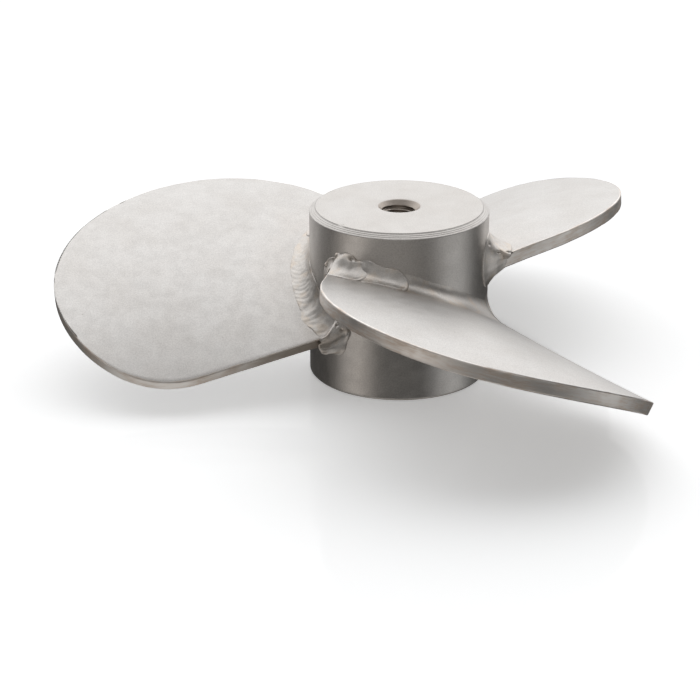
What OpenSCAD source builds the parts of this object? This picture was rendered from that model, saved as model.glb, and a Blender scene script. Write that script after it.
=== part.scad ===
// Welded three-blade propeller: a turned and tapped hub, three blades cut from plate,
// and the weld runs that hold each blade. Lengths are millimetres and angles are
// degrees. The shaft axis is Z, and the origin is the centre of the hub's lower face.
//
// A blade is drawn in its own directions: X points outwards from the shaft along the
// blade, and Y points across it, from its high edge towards its low edge. Places near
// the root are given as an angle round the shaft, which is 0 along X.

/* [Hub] */
// Outside diameter of the hub
hub_d = 60; // [58:0.5:64]
// Height of the hub
hub_h = 58; // [54:0.5:70]
// Width of the chamfer round the top face
top_chamfer_w = 2.2; // [0.5:0.1:4]
// Height of the chamfer round the top face
top_chamfer_h = 1.6; // [0.5:0.1:4]
// Size of the chamfer round the lower face
base_chamfer = 0.8; // [0.2:0.1:3]

/* [Tapped bore] */
// Diameter of the bore, which is the tap drill of an M12 thread
bore_d = 10.2; // [6.8:0.1:14]
// Diameter of the countersink at each end of the bore
sink_d = 14.5; // [14.5:0.1:20]
// Angle between the sides of a countersink
sink_angle = 90; // [60:5:120]

/* [Blade outline] */
// Distance from the shaft axis to the centre of the blade's round end
lobe_out = 77.6; // [74:0.2:82]
// Radius of the blade's round end
lobe_r = 38.0; // [37:0.2:41]
// Radius of the fuller arc that runs from the round end to the high edge
side_r = 57.8; // [53:0.2:62]
// Angle down from X, round the round end, at which that fuller arc begins
shoulder = 7; // [0:1:16]
// Angle between X and the straight part of the low edge
low_slope = 16.2; // [14:0.2:19]
// Angle between X and the straight part of the high edge
high_slope = 37.5; // [34:0.5:40]
// Angle round the shaft at which the low corner of the root is trimmed
low_corner = 44; // [42:1:46]
// Angle round the shaft at which the high corner of the root is trimmed
high_corner = 76; // [72:1:78]

/* [Blade plate] */
// Thickness of the plate
plate_t = 4.5; // [3:0.1:6]
// Height of the middle of the plate's top face above the hub's lower face
mid_height = 33.8; // [31:0.1:36]
// Distance from the shaft axis to the middle of the plate
mid_out = 60; // [54:0.5:66]
// Angle at which the middle of the plate is set across the shaft
pitch_angle = 26; // [22:0.1:28]
// The same angle, one round-end radius nearer the shaft than the middle
inner_pitch = 24.8; // [22:0.1:28]
// The same angle, one round-end radius farther from the shaft than the middle
outer_pitch = 23.5; // [20:0.1:27]
// Drop of both edges below a flat plate, one round-end radius from the middle
cup = 5.3; // [2:0.1:6]
// Drop of the root and the tip below a flat plate, at the same distance
bow = 0.5; // [0:0.1:2]

/* [Blade setting] */
// Direction of the first blade, counter-clockwise from X seen from above
first_blade = 64; // [0:1:119]
// How far each blade was set round from its third of the circle
blade_turn = [2.5, 0.1, -1.5]; // [-4:0.1:4]
// How far each blade was set above its mean height
blade_lift = [-1.3, 1.2, 0.1]; // [-2:0.1:2]

/* [Welds] */
// Angle round the shaft at which the first top run ends and the second begins
first_stop = -52; // [-62:1:-44]
// Angle round the shaft at which the second top run ends and the long run begins
second_stop = -30; // [-40:1:-20]
// Angle round the shaft at which one under run ends and the other begins
under_stop = -12; // [-30:1:10]
// Height of a run on the hub's wall
hub_leg = 6; // [4:0.1:7]
// Width of a run on the plate
plate_leg = 6.8; // [5:0.1:8]
// Share of a run's face that is hollow: 0 is a flat face and 1 a quarter round
hollow = 0.75; // [-0.5:0.05:1]
// Height of a corner weld above and below the plate, on the hub's wall
corner_leg = 4.8; // [3:0.1:6]
// Angle round the shaft that the weld round the high corner covers
high_wrap = 13; // [9:1:20]
// Angle round the shaft that the weld round the low corner covers
low_wrap = 10; // [8:1:16]

/* [Hidden] */

hub_colour = [0.62, 0.58, 0.54];
plate_colour = [0.80, 0.78, 0.75];
weld_colour = [0.72, 0.68, 0.64];

TOP = 1;
UNDER = -1;

// Gap between faces that touch, so that no two solids share space
gap = 0.05;
// Thickness of a weld's edge, where it runs out on the metal beside it
toe = 0.3;
// Share of its size that a run loses at its ends
end_taper = 0.2;
// Sizes of the first top run and of the runs under the plate, as shares of the full size
first_scale = 1.2;
under_scale = 0.9;
// Hollow shares of the first and second top runs, which are fuller than the long one
first_hollow = 0.2;
second_hollow = 0.5;
// How fast the weld round a corner falls away from the end of the plate, and the share
// of its height that it loses on the way
wrap_fall = 1.6;
wrap_narrow = 0.6;
// Rows and columns of points on a blade
blade_rows = 26;
blade_cols = 16;
// Steps along a run, and steps across its face, which is an even number
run_steps = 8;
face_steps = 6;
// Steps round the shaft, and steps up and down, on the weld round a corner
wrap_cols = 6;
wrap_rows = 10;

hub_r = hub_d / 2;
// Radius at which a flat facet between two columns still clears the hub
root_r = hub_r / cos((low_corner + high_corner) / blade_cols / 2) + gap;
tip_r = lobe_out + lobe_r;

// The low edge: a straight line that meets the round end without a corner
low_offset = lobe_r - lobe_out * sin(low_slope);
low_corner_r = low_offset / sin(low_corner - low_slope);
low_tangent_r = norm([lobe_out - lobe_r * sin(low_slope), lobe_r * cos(low_slope)]);

// The high edge: a straight line, then the fuller arc, then the round end
arc_shift = side_r - lobe_r;
side_centre = [lobe_out - arc_shift * cos(shoulder), arc_shift * sin(shoulder)];
side_out = norm(side_centre);
side_turn = atan2(side_centre.y, side_centre.x);
high_offset = side_r - side_centre * [sin(high_slope), cos(high_slope)];
high_corner_r = high_offset / sin(high_corner - high_slope);
high_tangent_r = norm(side_centre - side_r * [sin(high_slope), cos(high_slope)]);
shoulder_r = norm([lobe_out + lobe_r * cos(shoulder), lobe_r * sin(shoulder)]);

function mix(a, b, t) = a + (b - a) * t;

// A point at radius r and angle a round the shaft
function around(r, a, z) = [r * cos(a), r * sin(a), z];

// The angle at which a circle of radius arc_r, centred at distance out, crosses radius r
function arc_angle(r, out, arc_r) = acos((r * r + out * out - arc_r * arc_r) / (2 * r * out));

// The angle of the blade's low edge at radius r
function low_edge(r) =
    r <= low_corner_r ? low_corner :
    r <= low_tangent_r ? low_slope + asin(low_offset / r) :
    arc_angle(r, lobe_out, lobe_r);

// The angle of the blade's high edge at radius r
function high_edge(r) =
    r <= high_corner_r ? -high_corner :
    r <= high_tangent_r ? -high_slope - asin(high_offset / r) :
    r <= shoulder_r ? side_turn - arc_angle(r, side_out, side_r) :
    -arc_angle(r, lobe_out, lobe_r);

// How steeply the plate falls across the blade, at u: the slope varies smoothly through
// its values at the inner, middle and outer places, where u is -1, 0 and 1
fall_mid = tan(pitch_angle);
fall_change = (tan(outer_pitch) - tan(inner_pitch)) / 2;
fall_bend = (tan(outer_pitch) + tan(inner_pitch)) / 2 - fall_mid;
function fall(u) = fall_mid + fall_change * u + fall_bend * u * u;
function fall_rate(u) = fall_change + 2 * fall_bend * u;

// Height of the plate's top face at x, y
function plate_z(x, y) =
    let (u = (x - mid_out) / lobe_r, v = y / lobe_r)
    mid_height - y * fall(u) - cup * v * v - bow * u * u;

// Unit vector square to the plate's top face
function plate_normal(x, y) =
    let (
        u = (x - mid_out) / lobe_r,
        v = y / lobe_r,
        along = -(y * fall_rate(u) + 2 * bow * u) / lobe_r,
        across = -fall(u) - 2 * cup * v / lobe_r,
        n = [-along, -across, 1]
    )
    n / norm(n);

// Height of the plate's top or lower face, straight above or below x, y
function face_z(x, y, side) =
    plate_z(x, y) - (side == UNDER ? plate_t / plate_normal(x, y).z : 0);

// A point moved level with itself to the radius of the blade's root
function onto_root(p) = let (r = norm([p.x, p.y])) [p.x * root_r / r, p.y * root_r / r, p.z];

function top_point(r, a) = let (p = around(r, a, 0)) [p.x, p.y, plate_z(p.x, p.y)];
function under_point(r, a) =
    let (p = top_point(r, a), q = p - plate_t * plate_normal(p.x, p.y))
    r > root_r ? q : onto_root(q);

// The closed solid between two grids of points of one size. Grid rows and columns are
// ordered so that upper faces away from lower.
module slab(upper, lower) {
    rows = len(upper) - 1;
    cols = len(upper[0]) - 1;
    points = [for (grid = [upper, lower]) for (row = grid) each row];
    half = (rows + 1) * (cols + 1);
    // The number of a point: level 0 is the upper grid and level 1 the lower one
    function at(i, j, level) = level * half + i * (cols + 1) + j;
    function quad(a, b, c, d) = [[a, b, c], [a, c, d]];
    faces = [
        for (i = [0:rows - 1]) for (j = [0:cols - 1]) each concat(
            quad(at(i, j, 0), at(i, j + 1, 0), at(i + 1, j + 1, 0), at(i + 1, j, 0)),
            quad(at(i, j, 1), at(i + 1, j, 1), at(i + 1, j + 1, 1), at(i, j + 1, 1))
        ),
        for (i = [0:rows - 1]) each concat(
            quad(at(i, 0, 0), at(i + 1, 0, 0), at(i + 1, 0, 1), at(i, 0, 1)),
            quad(at(i + 1, cols, 0), at(i, cols, 0), at(i, cols, 1), at(i + 1, cols, 1))
        ),
        for (j = [0:cols - 1]) each concat(
            quad(at(0, j + 1, 0), at(0, j, 0), at(0, j, 1), at(0, j + 1, 1)),
            quad(at(rows, j, 0), at(rows, j + 1, 0), at(rows, j + 1, 1), at(rows, j, 1))
        ),
    ];
    polyhedron(points, faces, convexity = 6);
}

// Places a blade, or its welds, round the hub
module on_blade(i) {
    translate([0, 0, blade_lift[i]])
        rotate(first_blade + 120 * i + blade_turn[i])
            children();
}

module hub() {
    bore_r = bore_d / 2;
    sink_r = sink_d / 2;
    sink_h = (sink_r - bore_r) / tan(sink_angle / 2);
    color(hub_colour)
        rotate_extrude($fn = 128)
            polygon([
                [bore_r, sink_h],
                [sink_r, 0],
                [hub_r - base_chamfer, 0],
                [hub_r, base_chamfer],
                [hub_r, hub_h - top_chamfer_h],
                [hub_r - top_chamfer_w, hub_h],
                [sink_r, hub_h],
                [bore_r, hub_h - sink_h],
            ]);
}

// One blade: rows of points at rising radius, each from the high edge to the low edge.
// The rows crowd together at the tip, so that the outline's steps stay even.
module blade(i) {
    last = 90 * blade_rows / (blade_rows + 0.5);
    near_r = min(low_corner_r, high_corner_r);
    far_r = max(low_corner_r, high_corner_r);
    radii = concat(
        [root_r, near_r, far_r],
        [for (k = [1:blade_rows]) mix(far_r, tip_r, sin(last * k / blade_rows))]
    );
    function angles(r) = [for (j = [0:blade_cols]) mix(high_edge(r), low_edge(r), j / blade_cols)];
    color(plate_colour)
        on_blade(i)
            slab(
                [for (r = radii) [for (a = angles(r)) top_point(r, a)]],
                [for (r = radii) [for (a = angles(r)) under_point(r, a)]]
            );
}

// One weld run in the corner between the hub and a face of the plate, from angle start
// to angle stop. scale is its size against the driving dimensions, and shape is the
// hollow share of its face.
module run(i, side, start, stop, scale, shape) {
    wall_r = hub_r / cos((stop - start) / run_steps / 2) + gap;
    steps = [for (j = [0:run_steps]) j / run_steps];
    function angle(t) = mix(start, stop, t);
    function size(t) = scale * (1 - end_taper * pow(abs(2 * t - 1), 4));
    // A point out from the wall by x and off the plate by z, in the section at angle a
    function section(a, x, z) =
        let (p = around(wall_r + x, a, 0))
        [p.x, p.y, face_z(p.x, p.y, side) + side * (gap + z)];
    // The corner side: down the wall from the run's edge, then out along the plate
    function inner(t, k) =
        let (s = 2 * k - 1)
        section(angle(t), size(t) * plate_leg * max(s, 0), size(t) * hub_leg * max(-s, 0));
    // The open face: between a flat and a quarter-round hollow
    function outer(t, k) = section(
        angle(t),
        max(toe, size(t) * plate_leg * mix(k, 1 - cos(90 * k), shape)),
        max(toe, size(t) * hub_leg * mix(1 - k, 1 - sin(90 * k), shape))
    );
    across = [for (k = [0:face_steps]) k / face_steps];
    outer_grid = [for (k = across) [for (t = steps) outer(t, k)]];
    inner_grid = [for (k = across) [for (t = steps) inner(t, k)]];
    color(weld_colour)
        on_blade(i)
            slab(side == TOP ? outer_grid : inner_grid, side == TOP ? inner_grid : outer_grid);
}

// The weld that closes one trimmed corner of a blade's root. It starts at the end of
// the plate, at angle start, and dies away on the hub at angle stop.
module corner_weld(i, start, stop, corner_r) {
    wall_r = hub_r / cos((stop - start) / wrap_cols / 2) + gap;
    end = around(root_r, start, 0);
    high = face_z(end.x, end.y, TOP) + corner_leg;
    low = face_z(end.x, end.y, UNDER) - corner_leg;
    plate_share = 1 - 2 * corner_leg / (high - low);
    // How far the weld stands off the wall: t runs from the plate to the far edge, and
    // v from -1 at the bottom to 1 at the top
    function stand_off(t, v) =
        let (fade = max(0, (abs(v) - plate_share) / (1 - plate_share)))
        toe + (corner_r - wall_r - toe) * pow(1 - t, wrap_fall) * pow(1 - fade, 2);
    function spot(i, j, out) =
        let (t = start < stop ? j / wrap_cols : 1 - j / wrap_cols, v = 1 - 2 * i / wrap_rows)
        around(
            wall_r + (out ? stand_off(t, v) : 0),
            mix(start, stop, t),
            (high + low) / 2 + (high - low) / 2 * v * (1 - wrap_narrow * t * t)
        );
    function grid(out) = [for (i = [0:wrap_rows]) [for (j = [0:wrap_cols]) spot(i, j, out)]];
    color(weld_colour)
        on_blade(i)
            slab(grid(true), grid(false));
}

// Angle that keeps two runs, or a run and a corner, the gap apart
apart = gap / hub_r * 180 / PI;

module top_first(i)
    run(i, TOP, -high_corner + apart, first_stop - apart, first_scale, first_hollow);
module top_second(i) run(i, TOP, first_stop + apart, second_stop - apart, 1, second_hollow);
module top_long(i) run(i, TOP, second_stop + apart, low_corner - apart, 1, hollow);
module under_high(i)
    run(i, UNDER, -high_corner + apart, under_stop - apart, under_scale, hollow);
module under_low(i)
    run(i, UNDER, under_stop + apart, low_corner - apart, under_scale, hollow);
module high_corner_weld(i)
    corner_weld(i, -high_corner - apart, -high_corner - high_wrap, high_corner_r);
module low_corner_weld(i)
    corner_weld(i, low_corner + apart, low_corner + low_wrap, low_corner_r);

hub();

blade(0);  // blade_1
top_first(0);  // weld_1_top_first
top_second(0);  // weld_1_top_second
top_long(0);  // weld_1_top_long
under_high(0);  // weld_1_under_high
under_low(0);  // weld_1_under_low
high_corner_weld(0);  // weld_1_high_corner
low_corner_weld(0);  // weld_1_low_corner

blade(1);  // blade_2
top_first(1);  // weld_2_top_first
top_second(1);  // weld_2_top_second
top_long(1);  // weld_2_top_long
under_high(1);  // weld_2_under_high
under_low(1);  // weld_2_under_low
high_corner_weld(1);  // weld_2_high_corner
low_corner_weld(1);  // weld_2_low_corner

blade(2);  // blade_3
top_first(2);  // weld_3_top_first
top_second(2);  // weld_3_top_second
top_long(2);  // weld_3_top_long
under_high(2);  // weld_3_under_high
under_low(2);  // weld_3_under_low
high_corner_weld(2);  // weld_3_high_corner
low_corner_weld(2);  // weld_3_low_corner
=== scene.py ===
"""Looks for the welded three-blade propeller.

The frame gives the shapes. The CAD's hub gives the turned profile, each blade's top face
gives the plate's surface and outline, and each weld run's node gives the stretch of root
that it covers. This script rebuilds them as fine closed meshes and adds what the CAD
leaves out: the thread, the turning lines, the rounded plate edges, and the ripples,
craters and toes of the welds. Lengths are millimetres until a mesh or a shader is made.
"""

import math

import bpy
import numpy as np
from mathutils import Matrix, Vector


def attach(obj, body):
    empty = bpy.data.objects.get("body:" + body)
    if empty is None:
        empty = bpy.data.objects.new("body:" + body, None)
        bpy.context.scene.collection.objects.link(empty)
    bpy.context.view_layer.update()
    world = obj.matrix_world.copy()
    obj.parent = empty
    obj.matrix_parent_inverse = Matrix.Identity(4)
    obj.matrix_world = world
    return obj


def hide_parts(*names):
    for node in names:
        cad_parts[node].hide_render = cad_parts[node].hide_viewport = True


MM = 0.001
BLADES = (1, 2, 3)
FULL_TURN = 2 * math.pi

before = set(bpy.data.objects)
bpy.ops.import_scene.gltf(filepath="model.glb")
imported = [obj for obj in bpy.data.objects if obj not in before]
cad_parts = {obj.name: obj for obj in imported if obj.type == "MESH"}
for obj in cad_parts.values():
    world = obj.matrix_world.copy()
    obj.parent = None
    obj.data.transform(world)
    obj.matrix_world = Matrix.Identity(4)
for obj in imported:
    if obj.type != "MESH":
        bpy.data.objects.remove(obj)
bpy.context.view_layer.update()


# ---------------------------------------------------------------- small tools

NOISE_CELLS = 64


def mix(a, b, t):
    return a + (b - a) * t


def step(low, high, x):
    """0 below low, 1 above high, and a smooth rise between them."""
    t = np.clip((x - low) / (high - low), 0, 1)
    return t * t * (3 - 2 * t)


def around(radius, angle, z):
    """Points at a radius and an angle round the shaft."""
    return np.stack(np.broadcast_arrays(radius * np.cos(angle), radius * np.sin(angle), z), -1)


def noise(x, y, seed):
    """Smooth noise between -1 and 1, with features about one unit across. It repeats
    after NOISE_CELLS units."""
    table = np.random.default_rng(seed).uniform(-1, 1, (NOISE_CELLS, NOISE_CELLS))
    x, y = np.broadcast_arrays(x, y)
    i, j = np.floor(x).astype(int), np.floor(y).astype(int)
    u, v = step(0, 1, x - i), step(0, 1, y - j)
    i, j = i % NOISE_CELLS, j % NOISE_CELLS
    after_i, after_j = (i + 1) % NOISE_CELLS, (j + 1) % NOISE_CELLS
    low = mix(table[i, j], table[after_i, j], u)
    high = mix(table[i, after_j], table[after_i, after_j], u)
    return mix(low, high, v)


def finer(points, steps, axis):
    """The same curve with more points: a Catmull-Rom curve through those given."""
    p = np.moveaxis(points, axis, 0)
    p = np.concatenate([[2 * p[0] - p[1]], p, [2 * p[-1] - p[-2]]])
    a, b, c, d = p[:-3], p[1:-2], p[2:-1], p[3:]
    parts = []
    for t in np.arange(steps) / steps:
        bend = 2 * a - 5 * b + 4 * c - d + t * (3 * (b - c) + d - a)
        parts.append(b + 0.5 * t * (c - a + t * bend))
    curve = np.stack(parts, 1).reshape(-1, *p.shape[1:])
    return np.moveaxis(np.concatenate([curve, p[-2:-1]]), 0, axis)


# ------------------------------------------------------- reading the CAD frame

SAME_POINT_DECIMALS = 4
TOUCHING = 0.01
TOP_FACE_LEAN = 0.5


def cad_points(node):
    """A CAD node's vertices."""
    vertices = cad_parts[node].data.vertices
    points = np.zeros(len(vertices) * 3)
    vertices.foreach_get("co", points)
    return points.reshape(-1, 3) / MM


def top_face_points(node):
    """The separate points of a blade's top face, in rows of rising radius."""
    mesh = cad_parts[node].data
    points = cad_points(node)
    chosen = {i for face in mesh.polygons if face.normal.z > TOP_FACE_LEAN for i in face.vertices}
    top = np.unique(points[sorted(chosen)].round(SAME_POINT_DECIMALS), axis=0)
    radius = np.hypot(top[:, 0], top[:, 1])
    order = np.argsort(radius)
    breaks = np.flatnonzero(np.diff(radius[order]) > TOUCHING) + 1
    return [top[row] for row in np.split(order, breaks)]


class Plate:
    """One blade's plate: its rows of points, and the surface that its top face lies on."""

    SURFACE_UNIT = 100.0
    SURFACE_POWER = 3
    SLOPE_REACH = 0.5

    def __init__(self, number):
        rows = top_face_points(f"blade_{number}")
        middle = np.concatenate(rows).mean(0)
        self.facing = math.atan2(middle[1], middle[0])
        self.rows = np.array([row[np.argsort(self.turn(row))] for row in rows])
        flat = self.rows.reshape(-1, 3)
        powers = self.powers(flat[:, 0], flat[:, 1])
        self.terms = np.linalg.lstsq(powers, flat[:, 2], rcond=None)[0]
        self.thickness = self.measure_thickness(number)

    def turn(self, points):
        """Angles round the shaft from the way the blade faces, which rise to its low edge."""
        angle = np.arctan2(points[..., 1], points[..., 0]) - self.facing
        return (angle + math.pi) % FULL_TURN - math.pi

    def powers(self, x, y):
        """Every product of powers of x and y up to the third, which spans the surface."""
        u, v = x / self.SURFACE_UNIT, y / self.SURFACE_UNIT
        count = self.SURFACE_POWER + 1
        return np.stack([u**i * v**j for i in range(count) for j in range(count - i)], -1)

    def z(self, x, y):
        """Height of the top face."""
        return self.powers(x, y) @ self.terms

    def normal(self, x, y):
        """The way square to the top face, upward."""
        reach = self.SLOPE_REACH
        slope_x = (self.z(x + reach, y) - self.z(x - reach, y)) / (2 * reach)
        slope_y = (self.z(x, y + reach) - self.z(x, y - reach)) / (2 * reach)
        normal = np.stack([-slope_x, -slope_y, np.ones_like(slope_x)], -1)
        return normal / np.linalg.norm(normal, axis=-1, keepdims=True)

    def measure_thickness(self, number):
        """How far the lower face is from the top one, square to it. Points of the top face
        itself are left out, as less than a millimetre below it."""
        points = cad_points(f"blade_{number}")
        x, y = points[:, 0], points[:, 1]
        below = (self.z(x, y) - points[:, 2]) * self.normal(x, y)[:, 2]
        return float(np.median(below[below > 1.0]))

    def face_z(self, x, y, side):
        """Height of the top face, or of the lower face where side is -1."""
        if side > 0:
            return self.z(x, y)
        return self.z(x, y) - self.thickness / self.normal(x, y)[..., 2]

    def span(self, node):
        """The stretch of root that a weld node covers, as turns at its two ends."""
        angles = self.turn(cad_points(node))
        return angles.min(), angles.max()


plates = {number: Plate(number) for number in BLADES}
hub_points = cad_points("hub")
hub_radii = np.hypot(hub_points[:, 0], hub_points[:, 1])
HUB_R = hub_radii.max()
HUB_H = hub_points[:, 2].max()
BORE_R = hub_radii.min()


# --------------------------------------------------------------- making meshes

def grid_quads(rows, cols, first=0, flip=False):
    """Quads of a grid whose points are numbered row by row."""
    i, j = np.meshgrid(np.arange(rows - 1), np.arange(cols - 1), indexing="ij")
    a = (first + i * cols + j).ravel()
    quads = np.stack([a, a + cols, a + cols + 1, a + 1], -1)
    return quads[:, ::-1] if flip else quads


def border(rows, cols):
    """Point numbers round a grid, counter-clockwise when rows run out and columns left."""
    numbers = np.arange(rows * cols).reshape(rows, cols)
    return np.concatenate(
        [numbers[:-1, 0], numbers[-1, :-1], numbers[:0:-1, -1], numbers[0, :0:-1]]
    )


def ring_quads(upper, lower):
    """Quads between two closed loops of point numbers."""
    return np.stack([upper, lower, np.roll(lower, -1), np.roll(upper, -1)], -1)


def make_piece(name, points, quads, materials, replaced, wall_from=None, marks=None):
    """A smooth closed mesh from points in millimetres. Quads from wall_from on take the
    second material, and marks are named numbers for each point that materials read."""
    mesh = bpy.data.meshes.new(name)
    mesh.from_pydata((points * MM).tolist(), [], quads.tolist())
    mesh.polygons.foreach_set("use_smooth", np.ones(len(quads), bool))
    for material in materials:
        mesh.materials.append(material)
    if wall_from is not None:
        index = (np.arange(len(quads)) >= wall_from).astype(int)
        mesh.polygons.foreach_set("material_index", index)
    for key, values in (marks or {}).items():
        mesh.attributes.new(key, "FLOAT", "POINT").data.foreach_set("value", values)
    mesh.validate()
    piece = bpy.data.objects.new(name, mesh)
    bpy.context.scene.collection.objects.link(piece)
    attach(piece, "root")
    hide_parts(*replaced)
    return piece


def closed_shell(upper, lower):
    """Points and quads of the closed solid between two grids of one size. Seen from
    outside, upper's rows and columns turn counter-clockwise."""
    rows, cols = upper.shape[:2]
    half = rows * cols
    loop = border(rows, cols)
    points = np.concatenate([upper.reshape(-1, 3), lower.reshape(-1, 3)])
    quads = np.concatenate([
        grid_quads(rows, cols),
        grid_quads(rows, cols, half, flip=True),
        ring_quads(loop, loop + half),
    ])
    return points, quads


# ------------------------------------------------------------------- materials

# The middle part of a noise's range, which holds nearly all of its values
NOISE_LOW = 0.3
NOISE_HIGH = 0.7
CLOUD_MM = 14
GRAIN_MM = 0.42
GRAIN_SHADE = 0.14
SPECK_MM = 1.1
SPECK_SHADE = 0.3
ROUGHNESS_SPREAD = 0.03


class Nodes:
    """Short ways to add shader nodes to one material or world."""

    def __init__(self, tree):
        self.tree = tree
        tree.nodes.clear()

    def add(self, kind, inputs=None, **settings):
        made = self.tree.nodes.new(kind)
        for key, value in settings.items():
            setattr(made, key, value)
        for key, value in (inputs or {}).items():
            if isinstance(value, bpy.types.NodeSocket):
                self.tree.links.new(value, made.inputs[key])
            else:
                made.inputs[key].default_value = value
        return made

    def maths(self, operation, a, b=0.0, clamp=False):
        made = self.add("ShaderNodeMath", {0: a, 1: b}, operation=operation, use_clamp=clamp)
        return made.outputs[0]

    def blend(self, share, a, b, mode="MIX"):
        inputs = {"Factor": share, "A": a, "B": b}
        made = self.add("ShaderNodeMix", None, data_type="RGBA", blend_type=mode)
        for key, value in inputs.items():
            socket = next(one for one in made.inputs if one.name == key and one.enabled)
            if isinstance(value, bpy.types.NodeSocket):
                self.tree.links.new(value, socket)
            else:
                socket.default_value = value
        return next(one for one in made.outputs if one.enabled)

    def ramp(self, value, low, high, to_low=0.0, to_high=1.0):
        """A value spread from low..high to to_low..to_high, and held at the ends."""
        inputs = {"Value": value, "From Min": low, "From Max": high,
                  "To Min": to_low, "To Max": to_high}
        return self.add("ShaderNodeMapRange", inputs, interpolation_type="SMOOTHSTEP").outputs[0]

    def noise(self, size_mm, detail=2.0, rough=0.5, stretch=(1, 1, 1), vector=None):
        """Noise whose features are about size_mm across, as a value from 0 to 1."""
        if vector is None:
            vector = self.add("ShaderNodeTexCoord").outputs["Object"]
        scale = [share / (size_mm * MM) for share in stretch]
        placed = self.add("ShaderNodeVectorMath", {0: vector, 1: scale}, operation="MULTIPLY")
        inputs = {"Vector": placed.outputs[0], "Scale": 1.0, "Detail": detail, "Roughness": rough}
        return self.add("ShaderNodeTexNoise", inputs).outputs["Fac"]

    def bump(self, height, depth_mm, strength=1.0, normal=None):
        inputs = {"Height": height, "Distance": depth_mm * MM, "Strength": strength}
        if normal is not None:
            inputs["Normal"] = normal
        return self.add("ShaderNodeBump", inputs).outputs[0]

    def upward(self):
        """How far the surface faces up: 1 level and upward, -1 level and downward."""
        normal = self.add("ShaderNodeNewGeometry").outputs["Normal"]
        return self.add("ShaderNodeSeparateXYZ", {0: normal}).outputs["Z"]

    def height(self):
        """Metres above the hub's base."""
        place = self.add("ShaderNodeTexCoord").outputs["Object"]
        return self.add("ShaderNodeSeparateXYZ", {0: place}).outputs["Z"]

    def distance_out(self):
        """Metres from the shaft axis."""
        place = self.add("ShaderNodeTexCoord").outputs["Object"]
        level = self.add("ShaderNodeVectorMath", {0: place, 1: (1, 1, 0)}, operation="MULTIPLY")
        far = self.add("ShaderNodeVectorMath", {0: level.outputs[0]}, operation="LENGTH")
        return far.outputs["Value"]

    def attribute(self, name):
        return self.add("ShaderNodeAttribute", attribute_name=name).outputs["Fac"]

    def surface(self, shader):
        self.add("ShaderNodeOutputMaterial", {"Surface": shader})


def colour(red, green, blue):
    return (red, green, blue, 1.0)


BLACK = colour(0, 0, 0)
WHITE = colour(1, 1, 1)
# Dark specks of dirt, and also the painted shade in the welds' creases and pits
GRIME_AND_CREASE_SHADE = colour(0.25, 0.22, 0.19)


def new_material(name):
    material = bpy.data.materials.new(name)
    material.use_nodes = True
    return material, Nodes(material.node_tree)


def blasted_steel(n, light, dark, roughness, grain_depth=0.012, extra_bump=None):
    """The look that the bead blasting leaves: fine dimples, faint clouds and odd specks."""
    clouds = n.noise(CLOUD_MM, 3)
    grain = n.noise(GRAIN_MM, 2, 0.6)
    tone = n.blend(n.ramp(clouds, NOISE_LOW, NOISE_HIGH), dark, light)
    shaded = n.blend(n.ramp(grain, NOISE_LOW, NOISE_HIGH), BLACK, light)
    tone = n.blend(GRAIN_SHADE, tone, shaded)
    specks = n.ramp(n.noise(SPECK_MM, 1), 0.80, 0.84)
    tone = n.blend(n.maths("MULTIPLY", specks, SPECK_SHADE), tone, GRIME_AND_CREASE_SHADE)
    normal = n.bump(grain, grain_depth)
    if extra_bump is not None:
        normal = n.bump(*extra_bump, normal=normal)
    rough = n.ramp(n.noise(4, 2), NOISE_LOW, NOISE_HIGH,
                   roughness - ROUGHNESS_SPREAD, roughness + ROUGHNESS_SPREAD)
    inputs = {"Base Color": tone, "Metallic": 1.0, "Roughness": rough, "Normal": normal}
    return n.add("ShaderNodeBsdfPrincipled", inputs).outputs[0]


def hub_material():
    """Turned and blasted: the dimples, with the last faint trace of the turning under them,
    and a painted contact shadow: a dark line round the foot of the side, where it stands on the
    bench."""
    material, n = new_material("blasted_hub")
    turning = n.noise(0.5, 1, stretch=(0.02, 0.02, 1))
    # Painted contact shadow: the side darkens within about a millimetre of the base, and the base
    # itself, facing down, stays light
    above_foot = n.ramp(n.height(), 0.3 * MM, 1.1 * MM)
    faces_down = n.ramp(n.upward(), -0.7, -0.9)
    out_of_foot_shadow = n.maths("MAXIMUM", above_foot, faces_down)
    light = n.blend(out_of_foot_shadow, colour(0.16, 0.14, 0.12), colour(0.71, 0.69, 0.67))
    dark = n.blend(0.5, light, colour(0.64, 0.61, 0.58))
    n.surface(blasted_steel(n, light, dark, 0.41, extra_bump=(turning, 0.006)))
    return material


def bore_material():
    """The thread: cut after blasting, so smoother, and darker."""
    material, n = new_material("cut_thread")
    streaks = n.noise(0.25, 2, stretch=(0.3, 0.3, 3))
    tone = n.blend(streaks, colour(0.34, 0.29, 0.25), colour(0.62, 0.57, 0.52))
    inputs = {"Base Color": tone, "Metallic": 1.0, "Roughness": 0.35,
              "Normal": n.bump(streaks, 0.01)}
    n.surface(n.add("ShaderNodeBsdfPrincipled", inputs).outputs[0])
    return material


def plate_material():
    """Blasted plate, with a faint warm stain where the welding heated its root."""
    material, n = new_material("blasted_plate")
    wander = n.maths("MULTIPLY", n.noise(11, 3), 20 * MM)
    root_darkening = n.ramp(n.maths("ADD", n.distance_out(), wander), 36 * MM, 66 * MM, 0.5, 0.0)
    light = n.blend(root_darkening, colour(0.77, 0.755, 0.74), colour(0.72, 0.66, 0.61))
    n.surface(blasted_steel(n, light, colour(0.73, 0.71, 0.69), 0.45))
    return material


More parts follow.
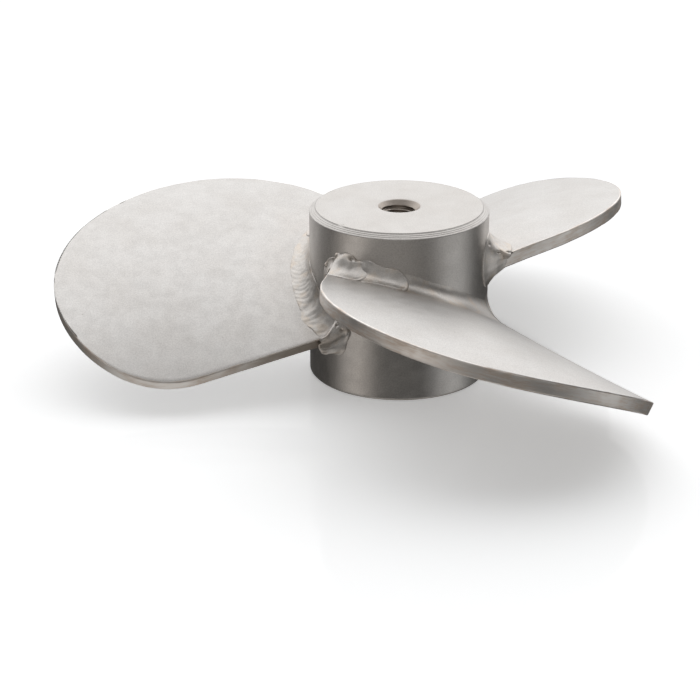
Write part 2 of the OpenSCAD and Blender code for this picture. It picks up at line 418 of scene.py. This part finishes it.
def edge_material():
    """The plate's cut edge: streaks along it, stained brown in places, and darkened with painted
    shade where it faces down near the root."""
    material, n = new_material("cut_edge")
    along = n.attribute("edge_along")
    depth = n.attribute("edge_depth")
    place = n.add("ShaderNodeCombineXYZ", {"X": along, "Y": depth}).outputs[0]
    streaks = n.noise(0.6, 4, 0.65, (0.09, 1, 1), place)
    patches = n.noise(5, 3, 0.6, (0.5, 1, 1), place)
    stain = n.ramp(n.maths("MULTIPLY", streaks, patches), 0.16, 0.40)
    tone = n.blend(stain, colour(0.99, 0.96, 0.93), colour(0.82, 0.71, 0.62))
    tone = n.blend(n.ramp(streaks, 0.58, 0.75), tone, colour(1.0, 0.99, 0.97))
    # Painted shade: the edge darkens where it faces down near the root
    near_root = n.ramp(n.distance_out(), 42 * MM, 85 * MM, 0.9, 0.0)
    root_darkening = n.maths("MULTIPLY", near_root, n.ramp(n.upward(), -0.05, -0.35))
    tone = n.blend(root_darkening, tone, colour(0.20, 0.17, 0.14))
    rough = n.ramp(patches, NOISE_LOW, NOISE_HIGH, 0.42, 0.58)
    inputs = {"Base Color": tone, "Metallic": 1.0, "Roughness": rough,
              "Normal": n.bump(streaks, 0.04)}
    n.surface(n.add("ShaderNodeBsdfPrincipled", inputs).outputs[0])
    return material


def weld_material():
    """Blasted weld metal: painted shade darkens the creases between ripples; tinted here and
    there.
    """
    material, n = new_material("blasted_weld")
    tint = n.ramp(n.noise(3.5, 2), 0.45, NOISE_HIGH)
    light = n.blend(tint, colour(0.74, 0.71, 0.68), colour(0.76, 0.69, 0.62))
    # Painted shade: the creases, the pits and the crescent ends are darkened
    crease_shade = n.maths("MULTIPLY", n.attribute("crease"), 0.6, clamp=True)
    light = n.blend(crease_shade, light, GRIME_AND_CREASE_SHADE)
    dents = (n.noise(1.6, 2), 0.03)
    n.surface(blasted_steel(n, light, light, 0.42, 0.010, dents))
    return material


# ------------------------------------------------------------------------- hub

HUB_COLS = 240
THREAD_PITCH = 1.75
THREAD_R = 6.05
THREAD_ROWS_PER_TURN = 9
# Shares of half a pitch: the flat at the bottom of the groove, and the slope beside it
THREAD_FLAT = 0.2
THREAD_SLOPE = 0.7
CHAMFER_LINES = 4
CHAMFER_LINE_DEPTH = 0.09
CHAMFER_LINE_ROWS = 10
CHAMFER_MARGIN = 0.06
EDGE_ROUND = 0.12
FLAT_RIM = 1.6
# The nick in the top edge: where it is round the hub, its size and its depth
NICK_TURN = math.radians(228)
NICK_SIZE = 0.5
NICK_DEPTH = 0.5


def hub_profile():
    """The corners of the turned profile, read from the CAD: from the lower countersink's
    rim round the outside to the top countersink's rim. One more point, a little way in
    from the top's edge, keeps the top flat beside the nick in that edge."""
    at_top = hub_points[:, 2] > HUB_H - TOUCHING
    at_base = hub_points[:, 2] < TOUCHING
    on_side = hub_radii > HUB_R - TOUCHING
    return [
        (hub_radii[at_base].min(), 0.0),
        (hub_radii[at_base].max(), 0.0),
        (HUB_R, hub_points[on_side, 2].min()),
        (HUB_R, hub_points[on_side, 2].max()),
        (hub_radii[at_top].max(), HUB_H),
        (hub_radii[at_top].max() - FLAT_RIM, HUB_H),
        (hub_radii[at_top].min(), HUB_H),
    ]


def rounded(profile, size):
    """The profile with each corner cut off at size from it, and one more point on each side
    of it, three times as far, to keep the flats flat."""
    result = []
    for i, corner in enumerate(profile):
        corner = np.array(corner)
        before = np.array(profile[max(i - 1, 0)]) - corner
        after = np.array(profile[min(i + 1, len(profile) - 1)]) - corner
        for way in (before, after):
            length = np.linalg.norm(way)
            if length > 0:
                near = [corner + way / length * size * share for share in (3, 1)]
                result += near if way is before else near[::-1]
    return np.array(result)


def chamfer_lines(low, high):
    """Points up the chamfer, with the shallow grooves that the tool left."""
    count = CHAMFER_LINES * CHAMFER_LINE_ROWS
    t = np.linspace(CHAMFER_MARGIN, 1 - CHAMFER_MARGIN, count)[:, None]
    way = high - low
    outward = np.array([way[1], -way[0]]) / np.linalg.norm(way)
    groove = (1 - np.abs(np.sin(math.pi * CHAMFER_LINES * t))) ** 2
    return low + way * t - outward * groove * CHAMFER_LINE_DEPTH


def bore_rows(angles, sink_r):
    """The bore from the top countersink's rim down to the lower one's, as a radius for
    each height and angle: a helical groove, opened out by the cone at each end."""
    count = int(HUB_H / THREAD_PITCH * THREAD_ROWS_PER_TURN)
    z = np.linspace(HUB_H, 0, count)[1:-1, None]
    turn = (z / THREAD_PITCH - angles / FULL_TURN) % 1
    ridge = np.clip((np.abs(2 * turn - 1) - THREAD_FLAT) / THREAD_SLOPE, 0, 1)
    thread = mix(BORE_R, THREAD_R, 1 - ridge)
    sink_h = hub_points[hub_radii < BORE_R + TOUCHING, 2].min()
    cone = sink_r - (sink_r - BORE_R) / sink_h * np.minimum(z, HUB_H - z)
    return np.maximum(thread, cone), z


def nick(r, z, angles, corner_r):
    """The hub's outside with a small dent in the chamfer's upper corner."""
    away = np.hypot((angles - NICK_TURN) * corner_r, np.hypot(r - corner_r, z - HUB_H))
    dent = NICK_DEPTH * np.exp(-(away / NICK_SIZE) ** 2)
    return r - dent * 0.5, z - dent


def build_hub(steel, thread):
    """The hub as one closed ring of a mesh: up its outside, then down its threaded bore."""
    angles = np.linspace(0, FULL_TURN, HUB_COLS, endpoint=False)[None, :]
    corners = hub_profile()
    eased = rounded(corners, EDGE_ROUND)
    chamfer = chamfer_lines(np.array(corners[3]), np.array(corners[4]))
    # rounded() gives two points for each end of the profile and four for each corner
    before_chamfer = 2 + 3 * 4
    outside = np.concatenate([eased[:before_chamfer], chamfer, eased[before_chamfer:]])
    r_out = np.broadcast_to(outside[:, :1], (len(outside), HUB_COLS))
    z_out = np.broadcast_to(outside[:, 1:], (len(outside), HUB_COLS))
    r_out, z_out = nick(r_out, z_out, angles, corners[4][0])
    r_in, z_in = bore_rows(angles, corners[-1][0])
    r = np.concatenate([r_out, r_in])
    z = np.concatenate([z_out, np.broadcast_to(z_in, r_in.shape)])
    rows = len(r)
    points = around(r, angles, z).reshape(-1, 3)
    numbers = np.arange(rows * HUB_COLS).reshape(rows, HUB_COLS)
    below, left = np.roll(numbers, -1, 0), np.roll(numbers, -1, 1)
    both = np.roll(below, -1, 1)
    quads = np.stack([numbers, left, both, below], -1).reshape(-1, 4)
    make_piece("hub_turned", points, quads, [steel, thread], ["hub"],
               wall_from=len(outside) * HUB_COLS)


# ---------------------------------------------------------------------- blades

ROW_STEPS = 4
COL_STEPS = 4
RIM_ROUND = 0.45
RIM_UNEVEN = 0.35
RIM_UNEVEN_EVERY = 5
RIM_ARC = 4
RIM_WALL = 6
ROOT_REACH = 0.6


def blade_top(plate):
    """The top face as a fine grid, its root run on a little way into the hub."""
    grid = finer(finer(plate.rows, ROW_STEPS, 0), COL_STEPS, 1)
    inward = grid[0, :, :2] / np.linalg.norm(grid[0, :, :2], axis=1, keepdims=True)
    grid[0, :, :2] -= inward * ROOT_REACH
    grid[..., 2] = plate.z(grid[..., 0], grid[..., 1])
    return grid


def rim_profile(thickness, rounding):
    """The edge in section, from top to bottom: how far out and how far down each ring is."""
    turn = np.linspace(0, math.pi / 2, RIM_ARC)[:, None]
    out = rounding * np.sin(turn)
    down = rounding * (1 - np.cos(turn))
    wall = np.linspace(0, 1, RIM_WALL + 2)[1:-1, None]
    wall_out = np.broadcast_to(rounding, (RIM_WALL, rounding.shape[-1]))
    wall_down = mix(rounding, thickness - rounding, wall)
    return (np.concatenate([out, wall_out, out[::-1]]),
            np.concatenate([down, wall_down, thickness - down[::-1]]))


def rim_rings(number, plate, rim):
    """The edge as rings of points, from the top face to the lower one, with how far along
    the edge each point is and how far down each ring's points are."""
    normal = plate.normal(rim[:, 0], rim[:, 1])
    forward = np.roll(rim, -1, 0) - np.roll(rim, 1, 0)
    outward = np.cross(forward, normal)
    outward /= np.linalg.norm(outward, axis=1, keepdims=True)
    along = np.concatenate([[0], np.cumsum(np.linalg.norm(np.diff(rim, axis=0), axis=1))])
    rounding = RIM_ROUND * (1 + RIM_UNEVEN * noise(along / RIM_UNEVEN_EVERY, 0.0, number))
    inset = rim - outward * rounding[:, None]
    out, down = rim_profile(plate.thickness, rounding[None, :])
    rings = inset + out[..., None] * outward - down[..., None] * normal
    return rings, along, down


def build_blade(number, plate, faces, edge):
    """One blade as a closed mesh: its top and lower faces, joined by the rings of its edge."""
    top = blade_top(plate)
    rows, cols = top.shape[:2]
    loop = border(rows, cols)
    flat = top.reshape(-1, 3)
    rings, along, down = rim_rings(number, plate, flat[loop])
    flat[loop] = rings[0]
    under = flat - plate.thickness * plate.normal(flat[:, 0], flat[:, 1])
    under[loop] = rings[-1]
    points = np.concatenate([flat, under, rings[1:-1].reshape(-1, 3)])

    count = len(flat)
    wall_rings = 2 * count + np.arange((len(rings) - 2) * len(loop)).reshape(-1, len(loop))
    numbers = [loop, *wall_rings, loop + count]
    faces_quads = [grid_quads(rows, cols), grid_quads(rows, cols, count, flip=True)]
    wall_quads = [ring_quads(upper, lower) for upper, lower in zip(numbers, numbers[1:])]

    depth_mark = np.zeros(len(points))
    along_mark = np.zeros(len(points))
    for ring, fall in zip(numbers, down):
        depth_mark[ring] = fall * MM
        along_mark[ring] = along * MM
    make_piece(f"blade_{number}_plate", points, np.concatenate(faces_quads + wall_quads),
               [faces, edge], [f"blade_{number}"],
               wall_from=2 * (rows - 1) * (cols - 1),
               marks={"edge_depth": depth_mark, "edge_along": along_mark})


# ------------------------------------------------------------------------ welds

# How far apart a run's rows are, the fewest that it has, and the points in a bead's row
ROW_EVERY = 0.3
SHORTEST_RUN_ROWS = 8
ACROSS = 34
# The radius at which a run's length is measured
SEAM_R = HUB_R + 3
# How far a bead's outline is sunk below the metal beside it, and its hidden side inside it
BURIED = 0.35
SUNK = 0.9
# A run's last stretch, and how many closer rows it has
END_STRETCH = 1.2
END_ROWS = 7
# How far in from a run's ends these reach: the rounding of its end and of its start, the
# painted crease shade at a crescent, and the rise from under another run
END_ROUND = 0.9
START_ROUND = 0.8
END_CREASE = 0.45
EMERGE_OVER = 5.0
# Below 1, so that a crescent's two sides don't run straight along the root
CRESCENT_ROUND = 0.96
LEG_UNEVEN = 0.05
DEEP_RIPPLE = 0.25
# Half the sweep of a corner's fan, and half the thickness that its outer end wraps round
FAN = math.radians(118)
FAN_ROWS = 72
HALF_PLATE = 2.2


def dome(away, radius, height):
    """A droplet, or a pit where height is below zero, at a distance from its centre."""
    return height * np.sqrt(np.clip(1 - (away / radius) ** 2, 0, 1))


def swell(away, radius, height):
    """A soft rise, or a soft hollow where height is below zero."""
    return height * np.exp(-(away / radius) ** 2)


def round_edge(inside, width):
    """0 on an outline and 1 from width inside it, with the shape of a rolled edge."""
    depth = np.clip(inside / width, 0, 1)
    return np.sqrt(1 - (1 - depth) ** 2)


def ripples(along, across, pitch, curve, seed):
    """The crescents of a weld run: rounded ridges with sharp creases between them.
    Gives the height, from -1 to 1, and how deep in a crease each point is."""
    wander = 0.5 * noise(along / 7, 0.0, seed) + 0.15 * noise(along / 2, across * 3, seed + 1)
    phase = (along - curve * (1 - (2 * across - 1) ** 2)) / pitch + wander
    ridge = np.abs(np.sin(math.pi * phase))
    fade = 0.6 + 0.4 * noise(along / 4, across * 2, seed + 2)
    return (2 * ridge ** 0.7 - 1) * fade, (1 - ridge) ** 4 * fade


def along_root(angle, places, values):
    """A value that eases from one place to the next. Places are in degrees, and angle is
    in radians."""
    result = np.full(angle.shape, float(values[0]))
    for place, after, value, following in zip(places, places[1:], values, values[1:]):
        result = result + (following - value) * step(place, after, np.degrees(angle))
    return result


def bead_shell(base, inner, height, turned):
    """The closed solid between inner and base, once base has been raised by height.
    turned is 1 where base's rows and columns turn counter-clockwise from outside, else -1."""
    normal = np.cross(np.gradient(base, axis=0), np.gradient(base, axis=1))
    normal *= turned / np.linalg.norm(normal, axis=-1, keepdims=True)
    outer = base + normal * height[..., None]
    return closed_shell(outer, inner) if turned > 0 else closed_shell(inner, outer)


def bead_marks(crease, turned):
    """How deep in a crease each point of a bead's shell is, for the painted shade there: none on
    its hidden side.
    """
    both = [crease.ravel(), np.zeros(crease.size)]
    return {"crease": np.concatenate(both if turned > 0 else both[::-1])}


def seam_point(plate, side, angle, out, off):
    """A point out from the hub's wall and off the plate's face, at an angle."""
    flat = around(HUB_R + out, plate.facing + angle, 0.0)
    return np.stack([flat[..., 0], flat[..., 1],
                     plate.face_z(flat[..., 0], flat[..., 1], side) + side * off], -1)


def run_steps(length):
    """Places from 0 to 1 along a run, closer together at its rolled end."""
    tail = END_STRETCH / length
    turn = np.linspace(0, math.pi / 2, END_ROWS)
    count = max(int(length / ROW_EVERY), SHORTEST_RUN_ROWS)
    return np.concatenate([
        np.linspace(0, 1 - tail, count)[:-1],
        1 - tail + tail * np.sin(turn),
    ])


def section(hub_leg, plate_leg, hollow, k):
    """The plain section of a bead, from the hub at k = 0 to the plate at k = 1: how far each
    point is out from the hub's wall and off the plate. hollow goes from flat to a quarter
    round hollow."""
    turn = k * math.pi / 2
    out = plate_leg * mix(k, 1 - np.cos(turn), hollow)
    off = hub_leg * mix(1 - k, 1 - np.sin(turn), hollow)
    return out, off


def hidden_side(place, hub_leg, plate_leg, k):
    """The side of a bead inside the hub and the plate. place puts a point out from the
    hub's wall and off the plate."""
    in_hub = place(-SUNK, hub_leg * np.clip(1 - 2 * k, 0, 1) - SUNK)
    in_plate = place(plate_leg * np.clip(2 * k - 1, 0, 1) - SUNK, -SUNK)
    return np.where((k < 0.5)[..., None], in_hub, in_plate)


def add_lumps(height, crease, lumps, gap):
    """A bead's height and creases with its lumps and pits added. gap is each point's
    distance from a place along the bead and a share of the way across it."""
    for kind, where, share, radius, lump in lumps:
        away = gap(where, share)
        height = height + kind(away, radius, lump)
        # A pit also takes the painted crease shade
        if lump < 0:
            crease = crease + kind(away, radius, 1.0)
    return height, crease


def run_relief(look, along, k, face_width):
    """How far a run stands out from its plain section, and how deep in a crease it is."""
    seed = look["seed"]
    ridge, crease = ripples(along, k, look["pitch"], look["bow"], seed + 10)
    crease = crease * np.minimum(1, look["ripple"] / DEEP_RIPPLE)
    height = look["proud"] + look["ripple"] * ridge
    broad = 0.16 * noise(along / 3, k * 3, seed + 20)
    fine = 0.05 * noise(along, k * 8, seed + 21)
    height = height + look["uneven"] * (broad + fine)
    for share, width, rise in look["bands"]:
        height = height + swell(k - share, width, rise)

    def gap(where, share):
        return np.hypot(along - math.radians(where) * SEAM_R, (k - share) * face_width)

    height, crease = add_lumps(height, crease, look["lumps"], gap)
    for where, lean, radius, lump in look["folds"]:
        away = np.abs(along - math.radians(where) * SEAM_R - lean * (k - 0.5) * face_width)
        height = height + swell(away, radius, lump) * (1 - (2 * k - 1) ** 4)
    return height, crease


def run_outline(look, along, start_at, stop_at, k):
    """0 on a run's outline, and 1 inside it once past its rounded edge."""
    edge = np.minimum(round_edge(k, look["rolled"]), round_edge(1 - k, look["toe"]))
    edge = edge * round_edge(stop_at - along, END_ROUND)
    if look["rolled_start"]:
        edge = edge * round_edge(along - start_at, START_ROUND)
    return edge


def build_run(name, plate, side, span, look, material):
    """One weld run, on the plate's top face or, where side is -1, on its lower one."""
    start = span[0] * SEAM_R - look["before"]
    stop = span[1] * SEAM_R + look["after"]
    k = np.linspace(0, 1, ACROSS)[None, :]
    round_off = 1 - np.sqrt(1 - CRESCENT_ROUND * (2 * k - 1) ** 2)
    start_at = start + look["slant"] * k
    stop_at = stop - look["crescent"] * round_off - look["slant_end"] * k
    along = mix(start_at, stop_at, run_steps(stop - start)[:, None])
    angle = along / SEAM_R
    seed = look["seed"]
    hub_leg = along_root(angle, *look["hub_leg"])
    hub_leg = hub_leg * (1 + LEG_UNEVEN * noise(along / 3, 0.5, seed))
    plate_leg = along_root(angle, *look["plate_leg"])
    plate_leg = plate_leg * (1 + LEG_UNEVEN * noise(along / 2.5, 0.5, seed + 5))

    def place(out, off):
        return seam_point(plate, side, angle, out, off)

    base = place(*section(hub_leg, plate_leg, look["hollow"], k))
    height, crease = run_relief(look, along, k, np.hypot(hub_leg, plate_leg))
    height = height - look["emerge"] * (1 - step(0, EMERGE_OVER, along - start_at))
    # A crescent's rolled end takes painted crease shade
    if look["crescent"] > 0:
        crease = crease + 1 - round_edge(stop_at - along, END_CREASE)
    height = mix(-BURIED, height, run_outline(look, along, start_at, stop_at, k))
    inner = hidden_side(place, hub_leg, plate_leg, k)
    points, quads = bead_shell(base, inner, height, -side)
    make_piece(f"{name}_bead", points, quads, [material], [name],
               marks=bead_marks(crease, -side))


def build_corner(name, plate, look, material):
    """The weld that closes one end of a root: a run's section swept round the end of the
    plate like a fan, from its top face to its lower one."""
    at_low_end = name.endswith("low_corner")
    way = 1 if at_low_end else -1
    rim = plate.rows[:, -1 if at_low_end else 0]
    rim_r, rim_turn = np.hypot(rim[:, 0], rim[:, 1]), plate.turn(rim)
    fan = np.linspace(FAN, -FAN, FAN_ROWS)[:, None]
    k = np.linspace(0, 1, ACROSS)[None, :]

    def place(out, off):
        """Points out from the hub's wall and off the plate's end, each in its row's fan
        direction."""
        radius = HUB_R + out
        turn = np.interp(radius, rim_r, rim_turn)
        spot = around(radius, plate.facing + turn, 0.0)
        top = plate.face_z(spot[..., 0], spot[..., 1], 1)
        low = plate.face_z(spot[..., 0], spot[..., 1], -1)
        z = (top + low) / 2 + ((top - low) / 2 + off) * np.sin(fan)
        return around(radius, plate.facing + turn + way * off * np.cos(fan) / radius, z)

    seed = look["seed"]
    hub_leg = along_root(fan, *look["hub_leg"])
    hub_leg = hub_leg * (1 + LEG_UNEVEN * noise(fan * 3, 0.5, seed))
    plate_leg = along_root(fan, *look["plate_leg"])
    plate_leg = plate_leg * (1 + LEG_UNEVEN * noise(fan * 3, 0.5, seed + 5))
    base = place(*section(hub_leg, plate_leg, look["hollow"], k))
    broad = 0.12 * noise(fan * 1.6, k * 2, seed + 20)
    fine = 0.03 * noise(fan * 8, k * 8, seed + 21)

    def gap(where, share):
        sideways = (fan - math.radians(where)) * mix(hub_leg, HALF_PLATE, k)
        return np.hypot(sideways, (k - share) * np.hypot(hub_leg, plate_leg))

    height = look["proud"] + broad + fine
    height, crease = add_lumps(height, np.zeros(height.shape), look["lumps"], gap)
    edge = np.minimum(round_edge(k, look["rolled"]), round_edge(1 - k, look["toe"]))
    edge = edge * round_edge(FAN - np.abs(fan), look["fade"])
    height = mix(-BURIED, height, edge)
    inner = hidden_side(place, hub_leg, plate_leg, k)
    points, quads = bead_shell(base, inner, height, -way)
    make_piece(f"{name}_bead", points, quads, [material], [name],
               marks=bead_marks(crease, -way))


# How a bead is laid. Its legs are how wide it is up the hub and out along the plate, as
# places in degrees and the widths there. For a run the places are turns along the root. For
# a corner they are fan directions: -90 under the plate, 0 level with it, 90 on top.
#   hollow       0 for a flat section to 1 for a hollow quarter round
#   proud        how far the whole bead stands out from that section
#   rolled, toe  how wide its rounded edges are, on the hub and on the plate, as shares
#   lumps        each its kind, place, share of the way across, radius and height
# And for a run only:
#   ripple, pitch, bow  height of its ripples, distance between them, and how far they bow
#   uneven              how strong its slower unevenness is
#   before, after       how far its ends go past the CAD's
#   slant, slant_end    how much shorter it is on the plate, at its start and at its end
#   crescent            how far its end is rounded back, or 0 for a straight end
#   rolled_start        whether its start is rounded too
#   emerge              how deep its start is, where it comes out from under another run
#   bands               ridges along it, each its share of the way across, width and height
#   folds               ridges across it, each its place, lean, half width and height
# And for a corner only:
#   fade         how long its two ends are, in radians of the fan
RUN = dict(rolled=0.08, toe=0.07, uneven=1.0, before=0, after=0, slant=0, slant_end=0,
           crescent=0, rolled_start=False, emerge=0, bands=(), lumps=(), folds=())
CORNER = dict(hollow=0.8, proud=0.1, rolled=0.05, toe=0.06, lumps=(), fade=0.25)

TOP = dict(
    RUN,
    hub_leg=([-76, -60, -45, -35, 30, 44], [6.8, 7.2, 6.9, 6.1, 6.0, 6.0]),
    plate_leg=([-76, -60, -45, -35, 30, 44], [7.4, 8.2, 6.8, 6.2, 6.6, 7.0]))
UNDER = dict(
    RUN, hollow=0.6, proud=0.1, ripple=0.08, pitch=1.9, bow=3.0,
    hub_leg=([-76, -60, 30, 44], [4.6, 5.4, 5.4, 4.6]),
    plate_leg=([-76, -60, 30, 44], [5.2, 6.0, 6.0, 5.4]))

KIND_LOOKS = {
    "top_first": dict(
        TOP, hollow=0.35, proud=0.3, ripple=0.025, pitch=2.2, bow=2.5,
        after=1.5, slant=3.0, crescent=4.0, rolled_start=True),
    "top_second": dict(
        TOP, hollow=0.6, proud=0.36, ripple=0.02, pitch=2.4, bow=3.0, uneven=0.5, toe=0.05,
        before=2.0, after=2.0, crescent=4.5, emerge=0.9,
        bands=[(0.36, 0.24, 0.2), (0.95, 0.04, 0.12)]),
    "top_long": dict(
        TOP, hollow=1.0, proud=-0.08, ripple=0.02, pitch=1.9, bow=3.0, uneven=0.3,
        rolled=0.04, toe=0.04, before=3.0, after=0.3),
    "under_high": dict(UNDER, proud=0.3, after=3.0, slant=3.0, crescent=4.0),
    "under_low": dict(UNDER, before=3.0, after=0.3),
    "high_corner": dict(
        CORNER, hub_leg=([-90, 0, 90], [5.0, 6.0, 6.8]),
        plate_leg=([-90, 0, 90], [5.2, 6.0, 7.4])),
    "low_corner": dict(
        CORNER, hub_leg=([-90, 0, 90], [4.6, 5.2, 6.0]),
        plate_leg=([-90, 0, 90], [5.4, 7.0, 7.0])),
}

# What a weld shows in place of its kind's own look, by blade and kind
OWN_LOOKS = {
    (1, "top_first"): dict(slant=0.3, before=0.0),
    (1, "high_corner"): dict(
        hollow=0.65, proud=0.15, rolled=0.03,
        hub_leg=([-90, 0, 90], [5.0, 7.0, 9.5]),
        plate_leg=([-90, 0, 90], [5.5, 6.6, 8.0]),
        lumps=[(swell, 70, 0.18, 0.5, -0.8), (swell, 66, 0.6, 0.5, -0.8),
               (swell, 85, 0.85, 1.2, 0.9)]),
    (2, "top_long"): dict(
        ripple=0.035, pitch=1.7, hollow=0.8, proud=0.05, toe=0.08, rolled=0.05, uneven=0.8,
        after=1.6, slant_end=2.0,
        hub_leg=([-30, 22, 45], [6.1, 6.0, 3.2]),
        plate_leg=([-30, 25, 29, 34, 42], [6.6, 6.8, 7.0, 8.8, 7.2])),
    (2, "low_corner"): dict(
        hollow=0.65, proud=0.15, rolled=0.12, toe=0.12, fade=0.4,
        hub_leg=([-110, -60, -20, 15, 60, 100], [5.2, 5.0, 4.4, 5.6, 3.9, 3.2]),
        plate_leg=([-90, 0, 90], [6.5, 7.6, 7.2]),
        lumps=[(swell, 5, 0.5, 3.4, 0.8), (swell, -50, 0.45, 2.6, 0.5),
               (swell, 62, 0.3, 0.42, -0.5), (swell, 30, 0.25, 0.36, -0.4),
               (swell, 14, 0.10, 1.0, 0.5)]),
    (3, "top_first"): dict(
        uneven=0.6, rolled=0.16, proud=0.15, hollow=0.45, after=1.2,
        hub_leg=([-78, -74, -72, -67, -62, -58, -54, -50],
                 [5.2, 5.8, 7.0, 7.2, 8.1, 7.6, 6.2, 6.2]),
        lumps=[(swell, -62.5, 0.30, 3.2, 0.75), (swell, -57.3, 0.16, 0.7, -0.7),
               (swell, -54.5, 0.2, 1.0, 0.4)],
        folds=[(-74.0, 0.25, 0.45, 0.55), (-72.4, 0.1, 0.4, -0.45),
               (-70.8, -0.1, 0.5, 0.5), (-69.0, -0.2, 0.35, -0.4)]),
    (3, "top_second"): dict(
        lumps=[(swell, -48.5, 0.25, 2.4, 0.45), (swell, -52, 0.08, 0.6, -0.5)]),
    (3, "high_corner"): dict(
        hub_leg=([-90, 0, 90], [2.5, 6.5, 4.9]),
        plate_leg=([-90, 0, 90], [3.5, 4.8, 7.0]),
        lumps=[(dome, 30, 0.12, 0.6, 0.6)]),
    (3, "low_corner"): dict(
        hollow=1.0, proud=0.0,
        hub_leg=([-90, 0, 60, 90], [5.0, 7.0, 8.0, 6.5]),
        plate_leg=([-90, 0, 90], [5.4, 7.0, 7.0])),
}


def build_weld(name, material):
    """The weld that a node such as weld_2_top_long stands for."""
    _, number, kind = name.split("_", 2)
    number = int(number)
    plate = plates[number]
    look = dict(KIND_LOOKS[kind], seed=100 * number + 7 * len(kind))
    look = look | OWN_LOOKS.get((number, kind), {})
    if kind.endswith("corner"):
        build_corner(name, plate, look, material)
    else:
        side = 1 if kind.startswith("top") else -1
        build_run(name, plate, side, plate.span(name), look, material)


# ------------------------------------------------------------------------ stage

CAMERA_BACK = 750.0
CAMERA_RISE = 18.46
CAMERA_PAN = 1.32
CAMERA_TIP = 3.68
CAMERA_LENS = 115.7
FLOOR_SIZE = 6000.0
FLOOR_PAINT = (1.14, 1.16, 1.18)
FLOOR_GLOW = 0.32
FLOOR_SHEEN = 0.035

# The lights that the object sees. Each has the way to its middle, in degrees clockwise from
# straight behind the object and in degrees up, then how squarely a ray has to point at it
# where it starts and where it is full, then its strength.
TENT = (0, 42, 0.22, 0.85, 1.17)
LEFT_PANEL = (-124, -10, 0.87, 0.999, 0.80)
RIGHT_PANEL = (106, -13, 0.83, 0.999, 0.60)
FRONT_ROOM = (180, 27, 0.67, 0.95, 0.32)
# How steeply a ray rises where the tent's foot, and the light from below, start and are full
TENT_FOOT = (-0.31, 0.08)
FROM_BELOW = (-0.56, -0.90)
BELOW_STRENGTH = 0.48
DIMMEST = 0.05


def add_camera():
    """In front of the hub and above it, aimed a little below its top and to its left, so
    that the left blade stays in the picture."""
    rise = math.radians(CAMERA_RISE)
    data = bpy.data.cameras.new("camera")
    data.lens = CAMERA_LENS
    data.sensor_width = 36.0
    data.clip_start = 0.01
    camera = bpy.data.objects.new("camera", data)
    camera.location = Vector((0, -math.cos(rise), math.sin(rise))) * CAMERA_BACK * MM
    camera.location.z += HUB_H * MM
    look = rise + math.radians(CAMERA_TIP)
    camera.rotation_euler = (math.pi / 2 - look, 0, math.radians(CAMERA_PAN))
    bpy.context.scene.collection.objects.link(camera)
    bpy.context.scene.camera = camera


def add_floor():
    """A white board with a faint sheen. It glows a little, so that the shadows on it stay
    pale, and it throws no light on the object."""
    material, n = new_material("floor_white")
    paint = n.add("ShaderNodeBsdfDiffuse", {"Color": colour(*FLOOR_PAINT)}).outputs[0]
    glow = n.add("ShaderNodeEmission", {"Color": WHITE, "Strength": FLOOR_GLOW}).outputs[0]
    matt = n.add("ShaderNodeAddShader", {0: paint, 1: glow}).outputs[0]
    sheen = n.add("ShaderNodeBsdfGlossy", {"Color": WHITE, "Roughness": 0.03}).outputs[0]
    n.surface(n.add("ShaderNodeMixShader", {0: FLOOR_SHEEN, 1: matt, 2: sheen}).outputs[0])
    half = FLOOR_SIZE / 2 * MM
    mesh = bpy.data.meshes.new("floor")
    mesh.from_pydata([(-half, -half, 0), (half, -half, 0), (half, half, 0), (-half, half, 0)],
                     [], [(0, 1, 2, 3)])
    mesh.materials.append(material)
    floor = bpy.data.objects.new("floor", mesh)
    floor.visible_glossy = False
    floor.visible_diffuse = False
    bpy.context.scene.collection.objects.link(floor)


def add_studio():
    """White to the camera. The object sees a bright tent behind it and above it, two soft
    panels low at its sides, a dim room in front and a paler light straight below."""
    world = bpy.data.worlds.new("studio")
    world.use_nodes = True
    bpy.context.scene.world = world
    n = Nodes(world.node_tree)
    way = n.add("ShaderNodeTexCoord").outputs["Generated"]
    rise = n.add("ShaderNodeSeparateXYZ", {0: way}).outputs["Z"]

    def soft_light(azimuth, elevation, start, full, strength):
        a, e = math.radians(azimuth), math.radians(elevation)
        middle = (math.sin(a) * math.cos(e), math.cos(a) * math.cos(e), math.sin(e))
        squarely = n.add("ShaderNodeVectorMath", {0: way, 1: middle}, operation="DOT_PRODUCT")
        return n.ramp(squarely.outputs["Value"], start, full, 0.0, strength)

    def lit(amount, tint):
        return n.blend(1.0, tint, amount, "MULTIPLY")

    tent = n.maths("MULTIPLY", soft_light(*TENT), n.ramp(rise, *TENT_FOOT))
    below = n.ramp(rise, *FROM_BELOW, 0.0, BELOW_STRENGTH)
    dim = n.maths("ADD", n.maths("ADD", soft_light(*FRONT_ROOM), below), DIMMEST)
    light = lit(tent, colour(1.0, 0.995, 0.99))
    for amount, tint in ((soft_light(*LEFT_PANEL), colour(1.0, 0.94, 0.88)),
                         (soft_light(*RIGHT_PANEL), colour(1, 1, 0.99)),
                         (dim, colour(1.0, 0.97, 0.93))):
        light = n.blend(1.0, light, lit(amount, tint), "ADD")
    camera_ray = n.add("ShaderNodeLightPath").outputs["Is Camera Ray"]
    seen = n.blend(camera_ray, light, WHITE)
    background = n.add("ShaderNodeBackground", {"Color": seen, "Strength": 1.0}).outputs[0]
    n.add("ShaderNodeOutputWorld", {"Surface": background})


def build():
    bpy.context.scene.view_settings.view_transform = "Standard"
    build_hub(hub_material(), bore_material())
    faces, edge = plate_material(), edge_material()
    for number, plate in plates.items():
        build_blade(number, plate, faces, edge)
    weld = weld_material()
    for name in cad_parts:
        if name.startswith("weld"):
            build_weld(name, weld)
    add_floor()
    add_studio()
    add_camera()


build()
